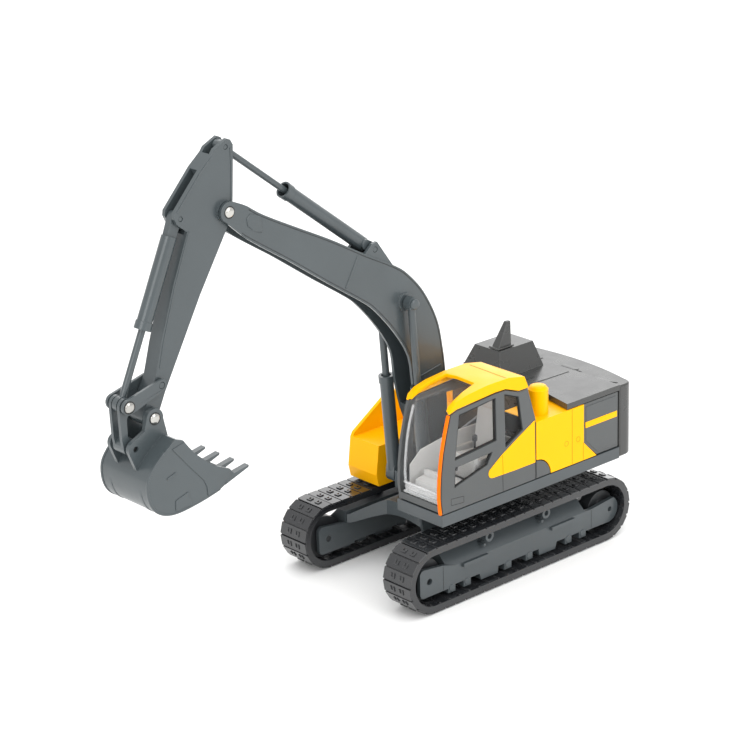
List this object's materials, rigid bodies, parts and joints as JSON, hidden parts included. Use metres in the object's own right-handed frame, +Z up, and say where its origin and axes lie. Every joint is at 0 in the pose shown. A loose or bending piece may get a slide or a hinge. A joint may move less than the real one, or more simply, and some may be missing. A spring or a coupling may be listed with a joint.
{
  "type": "toy excavator",
  "caption": "Toy crawler excavator in slate grey and yellow with a raised boom, a dropped arm and a curled bucket, a glazed cab and black crawler tracks.",
  "frame": {"origin": "middle of the whole outline, on the ground under the tracks", "axes": "+X forward from the counterweight to the bucket, +Y left to the cab side, +Z up"},
  "size_m": [0.1686, 0.055, 0.1401],
  "materials": {
    "dark_grey_paint": "satin",
    "grey_frame_paint": "satin",
    "grey_plastic": "satin",
    "yellow_plastic": "satin",
    "orange_trim": "satin",
    "clear_plastic": "polished",
    "interior_plastic": "matte",
    "black_track": "satin",
    "black_plastic": "satin",
    "rivet_steel": "satin"
  },
  "bodies": {
    "undercarriage": {"centre_frame": "grey_frame_paint", "track_frame_left": "grey_frame_paint", "track_frame_right": "grey_frame_paint", "track_belt_left": "black_track", "track_belt_right": "black_track", "idler_axle_left": "rivet_steel", "idler_axle_right": "rivet_steel", "drive_axle_left": "rivet_steel", "drive_axle_right": "rivet_steel", "slew_rivet": "rivet_steel"},
    "idler_left": {"idler_wheel_left": "black_plastic"},
    "idler_right": {"idler_wheel_right": "black_plastic"},
    "drive_left": {"drive_wheel_left": "black_plastic"},
    "drive_right": {"drive_wheel_right": "black_plastic"},
    "upper": {"upper_base": "grey_frame_paint", "housing_corner": "grey_plastic", "counterweight": "dark_grey_paint", "engine_hood": "grey_plastic", "exhaust_fin": "grey_plastic", "left_housing": "yellow_plastic", "right_housing": "yellow_plastic", "side_door_left": "grey_plastic", "side_door_right": "grey_plastic", "cab_shell": "grey_plastic", "cab_roof": "yellow_plastic", "cab_glazing": "clear_plastic", "cab_trim": "orange_trim", "cab_seat": "interior_plastic", "cab_console": "interior_plastic", "boom_cylinder_foot_pin": "dark_grey_paint"},
    "boom_assembly": {"boom": "dark_grey_paint", "boom_foot_pin": "rivet_steel", "boom_cylinder_head_pin": "dark_grey_paint", "arm_cylinder_foot_pin": "dark_grey_paint"},
    "boom_barrel_left": {"boom_cylinder_barrel_left": "dark_grey_paint"},
    "boom_barrel_right": {"boom_cylinder_barrel_right": "dark_grey_paint"},
    "boom_rod_left": {"boom_cylinder_rod_left": "dark_grey_paint"},
    "boom_rod_right": {"boom_cylinder_rod_right": "dark_grey_paint"},
    "arm_assembly": {"arm": "dark_grey_paint", "arm_pivot_rivet": "rivet_steel", "arm_cylinder_head_pin": "dark_grey_paint", "bucket_cylinder_foot_pin": "dark_grey_paint"},
    "arm_barrel": {"arm_cylinder_barrel": "dark_grey_paint"},
    "arm_rod": {"arm_cylinder_rod": "dark_grey_paint"},
    "bucket_barrel": {"bucket_cylinder_barrel": "dark_grey_paint"},
    "bucket_rod": {"bucket_cylinder_rod": "dark_grey_paint"},
    "rocker": {"rocker_left": "dark_grey_paint", "rocker_right": "dark_grey_paint", "rocker_pin": "rivet_steel", "link_rivet": "rivet_steel"},
    "link": {"bucket_link": "dark_grey_paint"},
    "bucket_assembly": {"bucket": "dark_grey_paint", "bucket_rivet": "rivet_steel", "bucket_link_pin": "rivet_steel"}
  },
  "joints": [
    {"name": "swing", "type": "hinge", "parent": "undercarriage", "child": "upper", "pos_m": [-0.03465, 0, 0.02445], "axis": [0, 0, 1], "continuous": true},
    {"name": "boom_lift", "type": "hinge", "parent": "upper", "child": "boom_assembly", "pos_m": [-0.02465, 0, 0.037], "axis": [0, -1, 0], "range_deg": [-28, 10]},
    {"name": "arm_swing", "type": "hinge", "parent": "boom_assembly", "child": "arm_assembly", "pos_m": [0.04735, 0, 0.1213], "axis": [0, -1, 0], "range_deg": [-18, 24]},
    {"name": "bucket_curl", "type": "hinge", "parent": "arm_assembly", "child": "bucket_assembly", "pos_m": [0.07505, 0, 0.0727], "axis": [0, -1, 0], "range_deg": [-21, 45]},
    {"name": "boom_barrel_left_pivot", "type": "hinge", "parent": "upper", "child": "boom_barrel_left", "pos_m": [-0.01665, 0.0066, 0.0272], "axis": [0, -1, 0], "range_deg": [-24.4, 8.9]},
    {"name": "boom_rod_left_pivot", "type": "hinge", "parent": "boom_assembly", "child": "boom_rod_left", "pos_m": [-0.01245, 0.0066, 0.0828], "axis": [0, -1, 0], "range_deg": [-1.7, 4.2]},
    {"name": "boom_barrel_right_pivot", "type": "hinge", "parent": "upper", "child": "boom_barrel_right", "pos_m": [-0.01665, -0.0066, 0.0272], "axis": [0, -1, 0], "range_deg": [-24.4, 8.9]},
    {"name": "boom_rod_right_pivot", "type": "hinge", "parent": "boom_assembly", "child": "boom_rod_right", "pos_m": [-0.01245, -0.0066, 0.0828], "axis": [0, -1, 0], "range_deg": [-1.7, 4.2]},
    {"name": "arm_barrel_pivot", "type": "hinge", "parent": "boom_assembly", "child": "arm_barrel", "pos_m": [-0.00235, 0, 0.1], "axis": [0, -1, 0], "range_deg": [-2.7, 3.5]},
    {"name": "arm_rod_pivot", "type": "hinge", "parent": "arm_assembly", "child": "arm_rod", "pos_m": [0.04625, 0, 0.138], "axis": [0, -1, 0], "range_deg": [-20.5, 15.4]},
    {"name": "bucket_barrel_pivot", "type": "hinge", "parent": "arm_assembly", "child": "bucket_barrel", "pos_m": [0.06175, 0, 0.1223], "axis": [0, -1, 0], "range_deg": [-2.2, 4.4]},
    {"name": "bucket_rod_pivot", "type": "hinge", "parent": "rocker", "child": "bucket_rod", "pos_m": [0.08215, 0, 0.0774], "axis": [0, -1, 0], "range_deg": [-27.1, 12.9]},
    {"name": "rocker_pivot", "type": "hinge", "parent": "arm_assembly", "child": "rocker", "pos_m": [0.07155, 0, 0.0806], "axis": [0, -1, 0], "range_deg": [-14.8, 31.2]},
    {"name": "link_pivot", "type": "hinge", "parent": "rocker", "child": "link", "pos_m": [0.08215, 0, 0.0774], "axis": [0, -1, 0], "range_deg": [-15, 7.2]},
    {"name": "drive_left_spin", "type": "hinge", "parent": "undercarriage", "child": "drive_left", "pos_m": [-0.07105, 0.021, 0.009], "axis": [0, 1, 0], "continuous": true},
    {"name": "idler_left_spin", "type": "hinge", "parent": "undercarriage", "child": "idler_left", "pos_m": [0.00015, 0.021, 0.009], "axis": [0, 1, 0], "continuous": true},
    {"name": "drive_right_spin", "type": "hinge", "parent": "undercarriage", "child": "drive_right", "pos_m": [-0.07105, -0.021, 0.009], "axis": [0, 1, 0], "continuous": true},
    {"name": "idler_right_spin", "type": "hinge", "parent": "undercarriage", "child": "idler_right", "pos_m": [0.00015, -0.021, 0.009], "axis": [0, 1, 0], "continuous": true}
  ],
  "couplings": [
    {"joint": "boom_barrel_left_pivot", "follows": "boom_lift", "ratio": 0.861},
    {"joint": "boom_rod_left_pivot", "follows": "boom_lift", "ratio": -0.139},
    {"joint": "boom_barrel_right_pivot", "follows": "boom_lift", "ratio": 0.861},
    {"joint": "boom_rod_right_pivot", "follows": "boom_lift", "ratio": -0.139},
    {"joint": "arm_barrel_pivot", "follows": "arm_swing", "ratio": 0.13},
    {"joint": "arm_rod_pivot", "follows": "arm_swing", "ratio": -0.84},
    {"joint": "rocker_pivot", "follows": "bucket_curl", "ratio": 0.685},
    {"joint": "link_pivot", "follows": "bucket_curl", "ratio": -0.326},
    {"joint": "bucket_barrel_pivot", "follows": "bucket_curl", "ratio": 0.089},
    {"joint": "bucket_rod_pivot", "follows": "bucket_curl", "ratio": -0.596},
    {"joint": "idler_left_spin", "follows": "drive_left_spin", "ratio": 1},
    {"joint": "idler_right_spin", "follows": "drive_right_spin", "ratio": 1}
  ]
}
